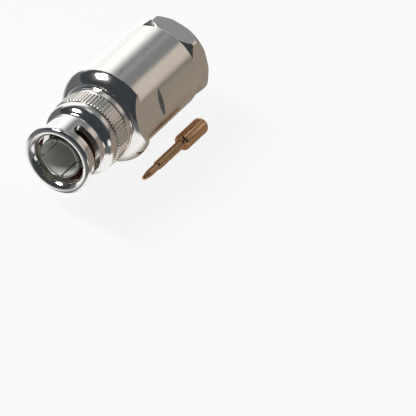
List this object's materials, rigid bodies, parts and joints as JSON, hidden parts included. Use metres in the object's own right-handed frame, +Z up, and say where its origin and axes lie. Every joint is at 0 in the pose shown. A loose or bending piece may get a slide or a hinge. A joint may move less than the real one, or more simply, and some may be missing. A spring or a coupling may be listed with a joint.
{
  "type": "bnc connector",
  "caption": "Male bayonet coaxial plug with a ribbed coupling nut, a long round body with wrench flats, a hexagonal cable clamp nut and a loose centre contact.",
  "frame": {"origin": "on the plug's axis, at the middle of the hub's front face, the plane where it meets its socket", "axes": "+X along the plug from its mating end towards its cable end, level with the ground; +Z up; the plug lies on its flange rim and a hexagon flat, so its own axis dips about 4 degrees towards the rear"},
  "size_m": [0.0407, 0.0226, 0.0193],
  "materials": {
    "coupling_nut": "bright nickel plate",
    "snap_ring": "nickel plate",
    "wave_washer": "spring steel",
    "flat_washer": "nickel plate",
    "outer_contact": "silver plate",
    "face_gasket": "silicone rubber",
    "insulator": "white fluoropolymer",
    "body": "bright nickel plate",
    "braid_clamp": "nickel plate",
    "cable_gasket": "black rubber",
    "slip_washer": "nickel plate",
    "clamp_nut": "bright nickel plate",
    "centre_contact": "gold plate"
  },
  "bodies": {
    "root": {"body": "body", "outer_contact": "outer_contact", "face_gasket": "face_gasket", "insulator": "insulator", "snap_ring": "snap_ring", "wave_washer": "wave_washer", "braid_clamp": "braid_clamp", "centre_contact": "centre_contact"},
    "washer_carrier": {"flat_washer": "flat_washer"},
    "coupling_nut": {"coupling_nut": "coupling_nut"},
    "gland_carrier": {"slip_washer": "slip_washer", "cable_gasket": "cable_gasket"},
    "clamp_nut": {"clamp_nut": "clamp_nut"}
  },
  "joints": [
    {"name": "nut_draw", "type": "slide", "parent": "root", "child": "washer_carrier", "axis": [-0.9977, 0, 0.0671], "range_m": [0, 0.0006], "stiffness_N_per_m": 800, "springref_m": -0.0005, "deforming": ["wave_washer"]},
    {"name": "nut_turn", "type": "hinge", "parent": "washer_carrier", "child": "coupling_nut", "pos_m": [0, 0, 0], "axis": [0.9977, 0, -0.0671], "continuous": true},
    {"name": "clamp_draw", "type": "slide", "parent": "root", "child": "gland_carrier", "axis": [0.9977, 0, -0.0671], "range_m": [0, 0.005]},
    {"name": "clamp_turn", "type": "hinge", "parent": "gland_carrier", "child": "clamp_nut", "pos_m": [0, 0, 0], "axis": [0.9977, 0, -0.0671], "range_deg": [0, 1800]}
  ],
  "couplings": [
    {"joint": "clamp_turn", "follows": "clamp_draw", "rad_per_m": 6283.2}
  ]
}
